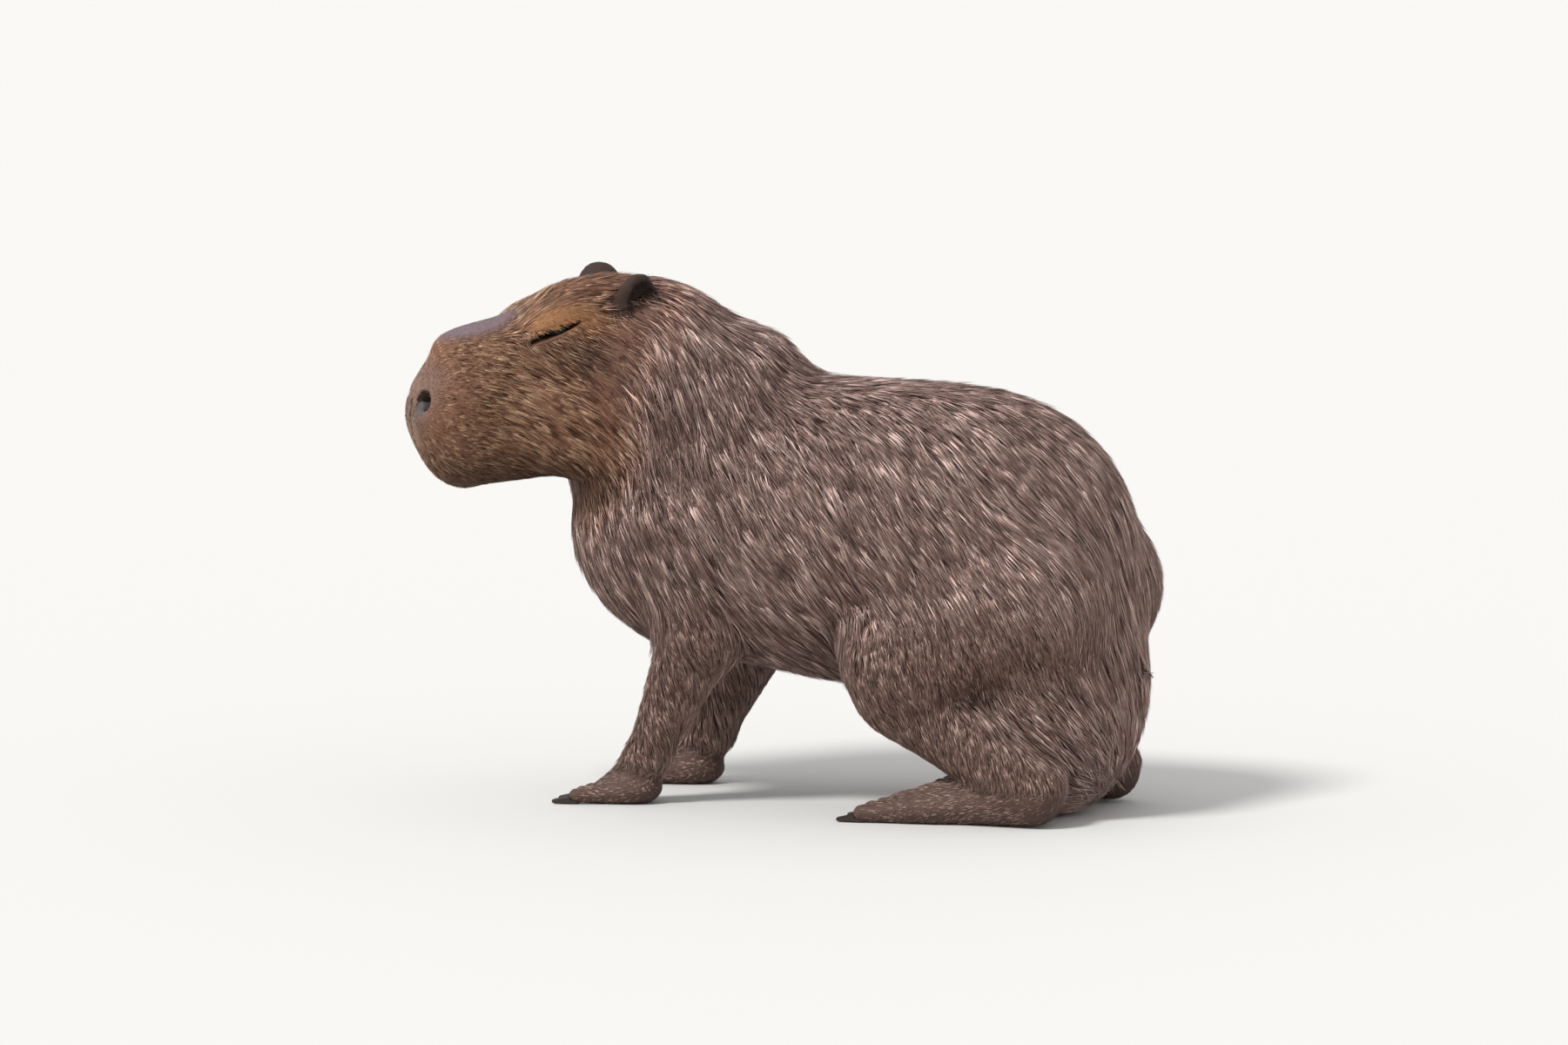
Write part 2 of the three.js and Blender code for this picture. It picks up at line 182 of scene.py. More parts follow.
def turned(x, y, z):
    """Rotation by angles in degrees about x, then y, then z."""
    a, b, c = (math.radians(v) for v in (x, y, z))
    rx = np.array([[1, 0, 0], [0, math.cos(a), -math.sin(a)], [0, math.sin(a), math.cos(a)]])
    ry = np.array([[math.cos(b), 0, math.sin(b)], [0, 1, 0], [-math.sin(b), 0, math.cos(b)]])
    rz = np.array([[math.cos(c), -math.sin(c), 0], [math.sin(c), math.cos(c), 0], [0, 0, 1]])
    return (rz @ ry @ rx).astype(np.float32)


def set_at(form, centre, turn):
    """A form moved to centre and turned there."""
    centre = vec(*centre)
    return lambda p: form((p - centre) @ turn)


def smooth(low, high, value):
    t = np.clip((value - low) / (high - low), 0, 1)
    return t * t * (3 - 2 * t)


# How softly the parts of a form blend, how softly forms meet, and how round the edges of cuts are
BLEND = {"trunk": 45, "neck": 40, "foreleg": 10, "hindleg": 12, "head": 26, "slit": 2}
MEET = {"neck": 30, "legs": 22, "tail": 8, "head": 14, "lid": 10, "ear": 5, "lobe": 2}
EDGE = {"cup": 3, "fold": 2, "slit": 2, "nostril": 4, "mouth": 3, "split": 2.5}

# The trunk, with the seat that rests on the floor, and the tail
withers = ball([-112, 0, 298], [152, 146, 150])
barrel = ball([50, 0, BACK_HEIGHT - 162], [225, HALF_GIRTH, 162])
rump = ball([186, 0, BACK_HEIGHT - 177], [176, HALF_GIRTH - 2, 170])
seat = ball([266, 0, 140], [108, 128, 148])
trunk_form = blend([withers, barrel, rump, seat], BLEND["trunk"])
tail_form = cone([346, 0, 176], 20, [380, 0, 150], 9)

# The neck, from the head down and back
nape = cone([-178, -30, 459], 84, [-76, 0, 345], 126)
crest = cone([-158, -24, 433], 104, [-108, -10, 404], 116)
throat = cone([-172, -34, 415], 98, [-118, -6, 330], 136)
neck_form = blend([nape, crest, throat], BLEND["neck"])

# The left legs and their toes, which the right side mirrors
FORE_TOES = {
    "count": 4, "x": -178, "y": FORELEG_Y, "reach": 40, "fan": 46, "spread": 38, "root": 11, "tip": 8.5,
    "height": 9, "slope": 2,
}
HIND_TOES = {
    "count": 3, "x": 160, "y": HINDLEG_Y, "reach": 46, "fan": 30, "spread": 38, "root": 13, "tip": 10,
    "height": 10, "slope": 2,
}


def toe_forms(toes):
    """The toes of a left foot."""
    rows = []
    for i in range(toes["count"]):
        share = i / (toes["count"] - 1) - 0.5
        angle = math.radians(toes["fan"] * share)
        x, y, z = toes["x"], toes["y"] + toes["spread"] * share, toes["height"]
        tip = [x - toes["reach"] * math.cos(angle), y + toes["reach"] * math.sin(angle), z]
        rows.append(cone([x, y, z + toes["slope"]], toes["root"], tip, toes["tip"]))
    return rows


upper_arm = cone([-98, FORELEG_Y, 285], 78, [-84, FORELEG_Y + 4, 190], 50)
forearm = cone([-84, FORELEG_Y + 4, 190], 46, [-146, FORELEG_Y, 55], 24)
wrist = cone([-146, FORELEG_Y, 55], 24, [-164, FORELEG_Y, 24], 24)
palm = ball([-168, FORELEG_Y, 16], [36, 30, 20])
foreleg_form = blend([upper_arm, forearm, wrist, palm, *toe_forms(FORE_TOES)], BLEND["foreleg"])

thigh = cone([258, HINDLEG_Y - 32, 232], 100, [158, HINDLEG_Y + 2, 168], 70)
knee = ball([142, HINDLEG_Y + 2, 165], [58, 46, 66])
shank = cone([150, HINDLEG_Y, 130], 48, [292, HINDLEG_Y, 44], 33)
heel = cone([296, HINDLEG_Y, 30], 29, [190, HINDLEG_Y, 20], 24)
sole = ball([176, HINDLEG_Y, 16], [44, 33, 20])
hindleg_form = blend([thigh, knee, shank, heel, sole, *toe_forms(HIND_TOES)], BLEND["hindleg"])

# The head, in its own frame
crown = ball([5, 0, 458], [98, 70, 97])
nose_bridge = cone([60, 0, 478], 63, [178, 0, 434], 42)
upper_lip = cone([110, 0, 420], 59, [180, 0, 397], 43)
lower_jaw = cone([55, 0, 398], 60, [168, 0, 371], 42)
cheeks = both(lambda side: ball([42, 36 * side, 408], [66, 42, 66]))
brows = both(lambda side: ball([72, 44 * side, 492], [50, 29, 31]))
muzzle_pads = both(lambda side: ball([182, 22 * side, 410], [40, 30, 38]))
morrillo = ball([150, 0, 478], [52, 32, 23])  # the bald swelling on the nose
head_local = blend(
    [crown, nose_bridge, upper_lip, lower_jaw, *cheeks, *brows, *muzzle_pads, morrillo], BLEND["head"]
)

# Details of the left side, which the right side mirrors
EAR_AT = vec(EAR["x"], EAR["y"], EAR["z"])
EYE_AT = vec(EYE["x"], EYE["y"], EYE["z"])
NOSTRIL_AT = vec(219, 25, 424)
MOUTH = {"at": [165, 0, 356], "rise": 12, "half": 1.6, "from": 105}
SPLIT_LIP = {"half": 1.4, "from": 195, "top": 424}
GROOVE_DEPTH = 6
LID_FOLD = {"out": 5, "half": 0.8, "depth": 2.2}
EAR_SHRINK = 0.8
ear_turn = turned(-EAR_TURNS["flare"], EAR_TURNS["lean"], EAR_TURNS["turn"])
eye_turn = turned(0, EYE["tilt"], 0)
nostril_turn = turned(0, 20, 40)
ear_flap = set_at(ball([0, 0, 0], [EAR["long"], EAR["thick"], EAR["high"]]), EAR_AT, ear_turn)
ear_cup = set_at(ball([-3, 13, 3], [20, 13, 28]), EAR_AT, ear_turn)
lid = set_at(ball([0, 0, 0], [30, 14, 16]), EYE_AT, eye_turn)
slit = blend([
    set_at(ball([5, 0, 0], [31, 24, 4.6]), EYE_AT, eye_turn),
    set_at(ball([38, 0, -3], [16, 22, 1.6]), EYE_AT, eye_turn),
], BLEND["slit"])
nostril = set_at(ball([-2, 0, 0], [12, 10, 10]), NOSTRIL_AT, nostril_turn)
nostril_lobe = set_at(ball([4, -3, -5], [9, 7, 8]), NOSTRIL_AT, nostril_turn)
mouth_plane = set_at(lambda q: np.abs(q[..., 2]) - MOUTH["half"], MOUTH["at"], turned(0, MOUTH["rise"], 0))


def ear_form(q):
    return soft_cut(ear_flap(q) + EAR_SHRINK, ear_cup(q), EDGE["cup"])


def head_form(q, plain):
    """The head in its own frame, with lids and ears, before the fine cuts."""
    f = folded(q)
    return soft_min(soft_min(plain, lid(f), MEET["lid"]), ear_form(f), MEET["ear"])


def fine_head(q, plain):
    """The head with its slits, lid folds, nostrils, mouth and split lip."""
    f = folded(q)
    d = head_form(q, plain)
    x, y, z = q[..., 0], q[..., 1], q[..., 2]
    fold = np.maximum(np.abs(lid(f) - LID_FOLD["out"]) - LID_FOLD["half"], -(plain + LID_FOLD["depth"]))
    d = soft_cut(d, fold, EDGE["fold"])
    d = soft_cut(d, slit(f), EDGE["slit"])
    d = soft_cut(d, nostril(f), EDGE["nostril"])
    d = soft_min(d, nostril_lobe(f), MEET["lobe"])
    deep = -(plain + GROOVE_DEPTH)
    mouth = np.maximum(np.maximum(mouth_plane(q), deep), MOUTH["from"] - x)
    split = np.maximum(np.abs(y) - SPLIT_LIP["half"], deep)
    split = np.maximum(split, np.maximum(SPLIT_LIP["from"] - x, z - SPLIT_LIP["top"]))
    d = soft_cut(d, mouth, EDGE["mouth"])
    return soft_cut(d, split, EDGE["split"])


def legs_form(p):
    f = folded(p)
    return np.minimum(foreleg_form(f), hindleg_form(f))


def base_forms(p):
    """What the other forms and the regions share: the head's frame, the bare head, the trunk and the legs."""
    q = to_head(p)
    return q, head_local(q), trunk_form(p), legs_form(p)


def whole_form(p, base=None, fine=False):
    """The whole animal's outline, cut flat at the floor, with the head's fine cuts where asked."""
    q, plain, trunk, legs = base or base_forms(p)
    d = soft_min(trunk, neck_form(p), MEET["neck"])
    d = soft_min(d, legs, MEET["legs"])
    d = soft_min(d, tail_form(p), MEET["tail"])
    head = fine_head(q, plain) if fine else head_form(q, plain)
    return np.maximum(soft_min(d, head, MEET["head"]), -p[..., 2])


# Where each region starts and where it is whole: along the head or trunk, in height, or off a form
SPAN = {
    "head": (-80, 50), "head_depth": (34, 8), "face": (0, 110), "muzzle": (110, 190), "under": (385, 335),
    "neck": (-10, -110), "neck_height": (330, 430), "leg": (24, -24), "leg_height": (300, 190),
    "foot": (75, 30), "belly": (215, 130), "ear": (3, 0), "cup": (2.5, 0), "lash": (2.2, 0.4),
    "hole": (3.0, -0.5), "lobe": (2.5, 0.5), "upper_lid": (492, 506), "shoulders": (0, -120),
    "rump": (180, 340), "parting": (300, 430),
}
MOSTLY = 0.5

# Rounded spots of the head's left side or middle, which start and are whole at these multiples of their radii
EYE_SPOT = {"radii": vec(34, 24, 17), "span": (1.6, 0.8)}
SPOTS = {
    "bald": {"at": vec(158, 0, 501), "radii": vec(48, 26, 24), "span": (1.3, 0.75)},
    "temple": {"at": vec(52, 66, 470), "radii": vec(34, 34, 26), "span": (1.4, 0.4)},
    "nose": {"at": vec(220, 12, 430), "radii": vec(34, 34, 44), "span": (1.1, 0.6)},
    # The lit rim: the front of the lips and chin, where a highlight is painted and the hair is short
    "rim": {"at": vec(232, 0, 376), "radii": vec(14, 26, 40), "span": (1.2, 0.7)},
}


def regions(p, base=None):
    """The animal's regions at points, each a share from 0 to 1, and the points in the head's frame."""
    q, plain, trunk, legs = base or base_forms(p)
    f = folded(q)
    x, z = q[..., 0], q[..., 2]
    along, height = p[..., 0], p[..., 2]
    head = smooth(*SPAN["head"], x) * smooth(*SPAN["head_depth"], plain)
    leg = smooth(*SPAN["leg"], legs - trunk) * smooth(*SPAN["leg_height"], height)
    neck = smooth(*SPAN["neck"], along) * smooth(*SPAN["neck_height"], height)
    eye = norm((f - EYE_AT) @ eye_turn / EYE_SPOT["radii"])
    spots = {
        name: head * smooth(*spot["span"], norm((f - spot["at"]) / spot["radii"]))
        for name, spot in SPOTS.items()
    }
    return spots | {
        "head": head,
        "face": head * smooth(*SPAN["face"], x),
        "muzzle": head * smooth(*SPAN["muzzle"], x),
        "neck": neck * (1 - head),
        "leg": leg,
        "foot": leg * smooth(*SPAN["foot"], height),
        "ear": smooth(*SPAN["ear"], ear_form(f)),
        "cup": smooth(*SPAN["cup"], ear_cup(f)),
        "eye": head * smooth(*EYE_SPOT["span"], eye),
        "lash": head * smooth(*SPAN["lash"], slit(f)),
        # painted shade: darker under the jaw
        "under": head * smooth(*SPAN["under"], z),
        # painted shade in and just round the nostril
        "hole": head * smooth(*SPAN["hole"], nostril(f)),
        "lobe": head * smooth(*SPAN["lobe"], nostril_lobe(f)),
        "belly": smooth(*SPAN["belly"], height) * (1 - leg),
        "local": q,
    }


def mixed(start, *steps):
    """A value led through steps of (share, value)."""
    value = start
    for share, other in steps:
        value = value * (1 - share) + other * share
    return value


# The coat, region over region: its depth, and the length, width and number for an area of its tufts
DEPTH = {
    "whole": 10.0, "head": 4.5, "face": 3.0, "muzzle": 1.8, "leg": 5.0, "foot": 1.4, "ear": 1.2, "eye": 1.5,
    "bald": 0.6, "nose": 1.1, "rim": 0.8,
}
LENGTH = {
    "whole": 54.0, "neck": 56.0, "belly": 38.0, "head": 30.0, "face": 22.0, "muzzle": 12.0, "leg": 26.0,
    "foot": 9.0, "ear": 10.0, "eye": 9.0, "nose": 6.0, "bald": 4.0, "rim": 6.0, "lash": 4.0,
}
WIDTH = {
    "whole": 1.35, "head": 1.3, "face": 1.1, "muzzle": 0.9, "leg": 1.3, "foot": 1.1, "ear": 1.1, "eye": 0.9,
    "nose": 0.9, "bald": 0.8,
}
DENSITY = {
    "whole": 1.0, "belly": 0.7, "leg": 1.4, "foot": 2.4, "head": 1.0, "face": 2.0, "muzzle": 4.0, "ear": 2.4,
    "eye": 6.0, "bald": 5.0, "nose": 8.0, "lobe": 0.0, "hole": 0.0, "lash": 0.0,
}


def by_region(r, table):
    """A table's value at points of regions r: that of the whole, led to each region's own in turn."""
    steps = [(r[name], own) for name, own in table.items() if name != "whole"]
    return mixed(table["whole"], *steps)


def skin_form(p):
    """The skin, which lies inside the outline by the coat's depth."""
    base = base_forms(p)
    return whole_form(p, base) + by_region(regions(p, base), DEPTH)


def fine_skin_form(p):
    base = base_forms(p)
    return whole_form(p, base, True) + by_region(regions(p, base), DEPTH)


def gradient(form, p, step=0.5):
    base = form(p)
    slopes = [form(p + axis * step) - base for axis in np.eye(3, dtype=np.float32)]
    g = np.stack(slopes, axis=-1)
    return np.concatenate([base[:, None], g / (norm(g)[:, None] + TINY)], axis=1)


# Skin: a grid of distances, full only in a band near the outline, polygonised and then moved onto its form
GRID = 3.85
SKIP = 4
BAND = 30.0
HALO = 3 * GRID
SETTLE_MOST = 3
SINK = {"steps": 26, "most": 18.0, "close": 0.05, "share": 0.7, "step": 2.0}
SKIN_LOW = vec(-420, -240, -15)
SKIN_HIGH = vec(410, 230, 590)


def grid_points(low, counts, pitch):
    axes = [low[i] + pitch * np.arange(counts[i]) for i in range(3)]
    return np.stack(np.meshgrid(*axes, indexing="ij"), axis=-1).reshape(-1, 3).astype(np.float32)


def stretched(values, axis, count):
    """A grid drawn out along one axis to count points, straight between the old ones."""
    at = np.arange(count) / SKIP
    below = at.astype(int)
    share = (at - below).astype(np.float32).reshape([-1 if i == axis else 1 for i in range(3)])
    return np.take(values, below, axis) * (1 - share) + np.take(values, below + 1, axis) * share


def skin_values():
    """The skin's form on an even grid, worked out in full only near the surface."""
    counts = np.ceil((SKIN_HIGH - SKIN_LOW) / GRID).astype(int) + 1
    few = -(-counts // SKIP) + 1
    values = in_shares(whole_form, grid_points(SKIN_LOW, few, GRID * SKIP)).reshape(few)
    for axis in range(3):
        values = stretched(values, axis, counts[axis])
    values = values.ravel()
    near = np.abs(values) < BAND
    values[near] = in_shares(skin_form, grid_points(SKIN_LOW, counts, GRID)[near])
    return values.reshape(counts)


def polygonise(values):
    """Vertices and faces of the skin."""
    volume = openvdb.FloatGrid()
    volume.background = HALO
    volume.copyFromArray(np.clip(values, -HALO, HALO).astype(np.float32))
    vertices, triangles, quads = volume.convertToPolygons(isovalue=0.0)
    return vertices * GRID + SKIN_LOW, quads.tolist() + triangles.tolist()


def read_grid(values, p):
    """Distance and outward direction at points, from the eight grid values round each."""
    q = (p - SKIN_LOW) / GRID
    cell = np.clip(q.astype(np.int32), 0, np.array(values.shape) - 2)
    upper = (q - cell).T
    x, y, z = cell.T
    steps = [(i, j, k) for i in (0, 1) for j in (0, 1) for k in (0, 1)]
    corners = np.stack([values[x + i, y + j, z + k] for i, j, k in steps]).reshape(2, 2, 2, -1)
    wx, wy, wz = np.stack([1 - upper, upper], axis=1)
    d = np.einsum("ijkn,in,jn,kn->n", corners, wx, wy, wz)
    g = np.stack([
        np.einsum("jkn,jn,kn->n", corners[1] - corners[0], wy, wz),
        np.einsum("ikn,in,kn->n", corners[:, 1] - corners[:, 0], wx, wz),
        np.einsum("ijn,in,jn->n", corners[:, :, 1] - corners[:, :, 0], wx, wy),
    ], axis=-1)
    return d, g / (norm(g)[:, None] + TINY)


def co_of(mesh):
    co = np.empty(len(mesh.vertices) * 3, dtype=np.float32)
    mesh.vertices.foreach_get("co", co)
    return co.reshape(-1, 3)


def normals_of(mesh):
    normals = np.empty(len(mesh.vertices) * 3, dtype=np.float32)
    mesh.vertices.foreach_get("normal", normals)
    return normals.reshape(-1, 3)


def set_co(mesh, co):
    mesh.vertices.foreach_set("co", np.ascontiguousarray(co, dtype=np.float32).ravel())
    mesh.update()


def refine(mesh, chosen):
    """Splits each edge that lies wholly in the chosen region."""
    work = bmesh.new()
    work.from_mesh(mesh)
    inside = chosen(co_of(mesh))
    edges = [e for e in work.edges if inside[e.verts[0].index] and inside[e.verts[1].index]]
    bmesh.ops.subdivide_edges(work, edges=edges, cuts=1, use_grid_fill=True)
    work.to_mesh(mesh)
    work.free()


def settle(mesh, chosen):
    """Moves the chosen vertices onto the skin's form."""
    co = co_of(mesh)
    inside = chosen(co)
    found = in_shares(lambda p: gradient(skin_form, p), co[inside])
    co[inside] -= np.clip(found[:, :1], -SETTLE_MOST, SETTLE_MOST) * found[:, 1:]
    set_co(mesh, co)


def sink(mesh):
    """Moves vertices straight in where fine cuts leave them outside the form."""
    co = co_of(mesh)
    normals = normals_of(mesh)
    near = np.flatnonzero(in_head(co))
    outside = near[in_shares(fine_skin_form, co[near]) > SINK["close"]]
    p = co[outside]
    n = normals[outside]
    travelled = np.zeros(len(p), dtype=np.float32)
    for _ in range(SINK["steps"]):
        d = in_shares(fine_skin_form, p)
        moving = (d > SINK["close"]) & (travelled < SINK["most"])
        step = np.where(moving, np.clip(d * SINK["share"], SINK["close"], SINK["step"]), 0)
        p = p - n * step[:, None]
        travelled += step
    co[outside] = p
    set_co(mesh, co)


def make_object(name, mesh, material, replaced):
    mesh.materials.append(material)
    mesh.polygons.foreach_set("use_smooth", np.ones(len(mesh.polygons), dtype=bool))
    piece = bpy.data.objects.new(name, mesh)
    bpy.context.scene.collection.objects.link(piece)
    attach(piece, "root")
    if replaced:
        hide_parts(*replaced)


def paint(mesh, colours):
    """Keeps a colour for each vertex, worked out from the animal's markings, painted shade and a painted
    highlight.
    """
    layer = mesh.color_attributes.new("coat_colour", "FLOAT_COLOR", "POINT")
    rgba = np.ones((len(mesh.vertices), 4), dtype=np.float32)
    rgba[:, :3] = colours
    layer.data.foreach_set("color", rgba.ravel())


# Colours
def linear(r, g, b):
    """A colour of 0 to 255 for each part as linear light."""
    c = np.array([r, g, b]) / 255
    return np.where(c <= 0.04045, c / 12.92, ((c + 0.055) / 1.055) ** 2.4)


BODY_DARK = linear(72, 51, 45)
BODY_MIDDLE = linear(148, 118, 108)
BODY_LIGHT = linear(218, 190, 180)
CROWN_DARK = linear(66, 39, 27)
CROWN_MIDDLE = linear(164, 104, 74)
CROWN_LIGHT = linear(232, 180, 140)
FACE_MIDDLE = linear(186, 134, 104)
FACE_LIGHT = linear(255, 218, 178)
GOLD = linear(232, 164, 104)
LEG_DARK = linear(112, 84, 70)
EAR_DARK = linear(46, 33, 27)
CUP = linear(34, 25, 24)
BALD = linear(110, 95, 101)
NOSE = linear(116, 93, 84)
LOBE = linear(84, 78, 79)
# Near black: painted shade in and round the nostrils, and the dark edges of the eye slits
NOSTRIL_SHADE_AND_LASH = linear(18, 13, 12)
# Pale painted highlight on the front rim of the lips and chin
RIM_HIGHLIGHT = linear(186, 166, 146)

# The tone of middle colours, and how dark plain and speckled regions are at tone 0
MIDDLE_TONE = 0.55
VARY_FROM = 0.7
SPECKLE_FROM = 0.45

# How strongly each region's colour covers the one under it
COVER = {
    "leg": 0.5, "head": 0.8, "face": 0.75, "temple": 0.5, "under": 0.7, "eye": 0.55, "ear": 0.9, "cup": 0.8,
    "bald": 0.9, "nose": 0.75, "rim": 0.25, "hole": 1.0, "lobe": 0.8, "lash": 0.9,
}


def between(dark, middle, light, tone):
    """A colour led by tone from dark, 0, through middle to light, 1."""
    low = smooth(0.0, MIDDLE_TONE, tone)
    high = smooth(MIDDLE_TONE, 1.0, tone)
    return dark + (middle - dark) * low + (light - middle) * high


def columns(r):
    """The regions' shares as columns."""
    return {name: value[:, None] for name, value in r.items() if name != "local"}


def coat_colour(r, tone, shade=1.0):
    """The colour of hair or skin at points of regions r, for a tone from dark, 0, to light, 1, with painted
    shade under the jaw and round the nostrils and a painted highlight on the front of the lips.
    """
    share = columns(r)
    cover = {name: share[name] * strength for name, strength in COVER.items()}
    tone = tone[:, None]
    vary = VARY_FROM + (2 - 2 * VARY_FROM) * tone
    speckle = SPECKLE_FROM + (2 - 2 * SPECKLE_FROM) * tone
    body = between(BODY_DARK, BODY_MIDDLE, BODY_LIGHT, tone)
    crown = between(CROWN_DARK, CROWN_MIDDLE, CROWN_LIGHT, tone)
    face = between(CROWN_DARK, FACE_MIDDLE, FACE_LIGHT, tone)
    upper_lid = smooth(*SPAN["upper_lid"], r["local"][:, 2:3])
    furred = mixed(
        body,
        (cover["leg"], LEG_DARK * vary),
        (cover["head"], crown),
        (cover["face"], face),
        (cover["temple"], BODY_DARK * vary),
        # Painted shade under the jaw
        (cover["under"], CROWN_DARK * vary),
        (cover["eye"] * upper_lid, GOLD * vary),
    )
    return mixed(
        furred * shade,
        (cover["ear"], EAR_DARK * vary),
        (cover["cup"] * share["ear"], CUP * vary),
        (cover["bald"], BALD * speckle),
        (cover["nose"], NOSE * speckle),
        # Painted highlight on the front rim of the lips
        (cover["rim"], RIM_HIGHLIGHT * vary),
        # Painted shade in and round the nostril
        (cover["hole"], NOSTRIL_SHADE_AND_LASH),
        (cover["lobe"], LOBE),
        (cover["lash"], NOSTRIL_SHADE_AND_LASH),
    )


# The coat: long tufts with a bend on the body, short straight ones on the head, feet and ears
PATCH = 0.003
MARGIN = 0.01
ROOT_SUNK = -1.2
THICKNESS = 0.7
MOST_MOVE = 25.0
CORRECTIONS = 2
FLOOR_GAP = 0.1
PARTING = {"wide": 90.0, "out": 0.16}

# How far tufts differ: the draws they share in a clump and have alone, then what one draw changes
CLUMP_DRAW = 0.6
OWN_DRAW = 0.6
DRAW_MOST = 2
LENGTH_BY = 0.18
LIFT = 0.82
LIFT_BY = 0.16
LIFT_RANGE = (0.4, 1.1)
SWAY_BY = np.radians(8)
WIDTH_RANGE = (0.6, 1.35)
TONE = 0.46
BEND = 1.4
CELL_KEYS = (73856093, 19349663, 83492791)

# How steeply the hair runs down, region over region, in radians
DIP = {"whole": np.radians(50), "shoulders": np.radians(62), "rump": np.radians(44)}
DIP_OVER = {
    "neck": np.radians(66), "head": np.radians(38), "face": np.radians(24), "muzzle": np.radians(12),
    "leg": np.radians(74), "foot": np.radians(10),
}
NECK_LEAD = 0.6

LONG = {
    "count": 118000, "most": 18000, "heights": [0, 0.55, 0.95], "widths": [0.75, 1.0],
    "shade": [0.25, 0.9, 1.3], "pull": 0.4, "own": 0.28, "shared": 0.14, "clump": [2, 0.14],
}
SHORT = {
    "count": 74000, "most": 40000, "heights": [0, 0.9], "widths": [1.0],
    "shade": [0.15, 1.5], "pull": 0.4, "own": 0.28, "shared": 0.32, "clump": [1.2, 0.24],
}


def short_haired(r):
    return np.maximum(np.maximum(r["head"], r["foot"]), r["ear"]) > MOSTLY


def lie(p, share, sway):
    """The way the hair points, before it is flattened onto the skin."""
    tailwards = vec(1, 0, 0)
    back = mixed(
        tailwards,
        (share["neck"] * NECK_LEAD, -FORWARD),
        (share["head"], -FORWARD),
        (share["foot"], -tailwards),
    )
    x, y, z = p[:, :1], p[:, 1], p[:, 2]
    along = {"shoulders": smooth(*SPAN["shoulders"], x), "rump": smooth(*SPAN["rump"], x)}
    dip = mixed(by_region(along, DIP), *[(share[name], steep) for name, steep in DIP_OVER.items()])
    dip = dip + sway[:, None]
    parted = PARTING["out"] * smooth(*SPAN["parting"], z) * (1 - share["head"][:, 0])
    outward = np.zeros_like(p)
    outward[:, 1] = np.clip(y / PARTING["wide"], -1, 1) * parted
    return back * np.cos(dip) - UP * np.sin(dip) + outward


def paths(values, roots, r, lengths, lift, sway, heights):
    """Stations along each tuft, from its sunk root to its tip, and the sideways and outward ways there."""
    share = columns(r)
    depth = by_region(r, DEPTH)
    stations = []
    frames = []
    p = roots.astype(np.float32)
    for i, high in enumerate(heights):
        height = depth * lift * high if i else ROOT_SUNK
        for _ in range(CORRECTIONS):
            d, g = read_grid(values, p)
            p = p - np.clip(d - height, -MOST_MOVE, MOST_MOVE)[:, None] * g
        way = lie(p, share, sway)
        way -= np.einsum("ij,ij->i", way, g)[:, None] * g
        way /= norm(way)[:, None] + TINY
        stations.append(p)
        frames.append((np.cross(g, way), g))
        p = p + way * (lengths / (len(heights) - 1))[:, None]
    return stations, frames


def scattered(mesh, count, wanted):
    """Root points spread over the wanted regions of the skin, as densely as each asks."""
    mesh.calc_loop_triangles()
    corners = np.empty(len(mesh.loop_triangles) * 3, dtype=np.int32)
    mesh.loop_triangles.foreach_get("vertices", corners)
    a, b, c = co_of(mesh)[corners.reshape(-1, 3)].transpose(1, 0, 2)
    area = norm(np.cross(b - a, c - a)) / 2
    r = in_shares(regions, (a + b + c) / 3)
    weight = area * by_region(r, DENSITY) * wanted(r)
    chosen = rng.choice(len(area), size=count, p=weight / weight.sum())
    u, v = rng.random((2, count, 1))
    flip = u + v > 1
    u, v = np.where(flip, 1 - u, u), np.where(flip, 1 - v, v)
    return (a[chosen] + (b - a)[chosen] * u + (c - a)[chosen] * v).astype(np.float32)


def clumps_of(roots, spacing):
    """For each root, the index of the root that its clump leans towards."""
    order = rng.permutation(len(roots))
    cell = np.floor(roots[order] / spacing[order, None]).astype(np.int64)
    key = np.bitwise_xor.reduce(cell * np.array(CELL_KEYS), axis=1)
    _, first = np.unique(key, return_index=True)
    leaders = order[first]
    tree = kdtree.KDTree(len(leaders))
    for i, leader in enumerate(leaders):
        tree.insert(Vector(roots[leader]), i)
    tree.balance()
    return np.array([leaders[tree.find(Vector(root))[1]] for root in roots])


def tuft_faces(rings):
    """Corners of one tuft's root cap, sides and tip, and the number of corners of each face."""
    pattern = [0, 1, 2]
    sizes = [3]
    for ring in range(rings - 1):
        for i in range(3):
            a, b = ring * 3 + i, ring * 3 + (i + 1) % 3
            pattern += [a, a + 3, b + 3, b]
            sizes.append(4)
    for i in range(3):
        pattern += [(rings - 1) * 3 + i, rings * 3, (rings - 1) * 3 + (i + 1) % 3]
        sizes.append(3)
    return np.array(pattern), np.array(sizes)


# Unwraps: axis of the part, centre of the turn on the other two axes, and the range along it
UNWRAPS = {
    "head": (0, (0, 440), -100, 240),
    "neck": (0, (0, 380), -290, 60),
    "trunk": (0, (0, 280), -280, 400),
    "leg": (2, (0, 0), -10, 340),
    "foot": (2, (0, 0), -10, 340),
}


def unwrap(name, p):
    """Each root's place on an unwrap of the skin: round the axis of its part, and along it."""
    axis, centre, low, high = UNWRAPS[name]
    q = to_head(p) if name == "head" else p
    others = [i for i in range(3) if i != axis]
    turn = np.arctan2(q[:, others[0]] - centre[0], q[:, others[1]] - centre[1])
    angle = turn / (2 * math.pi) + 0.5
    along = np.clip((q[:, axis] - low) / (high - low), 0, 1)
    return MARGIN + (1 - 2 * MARGIN) * np.stack([angle, along], axis=-1)


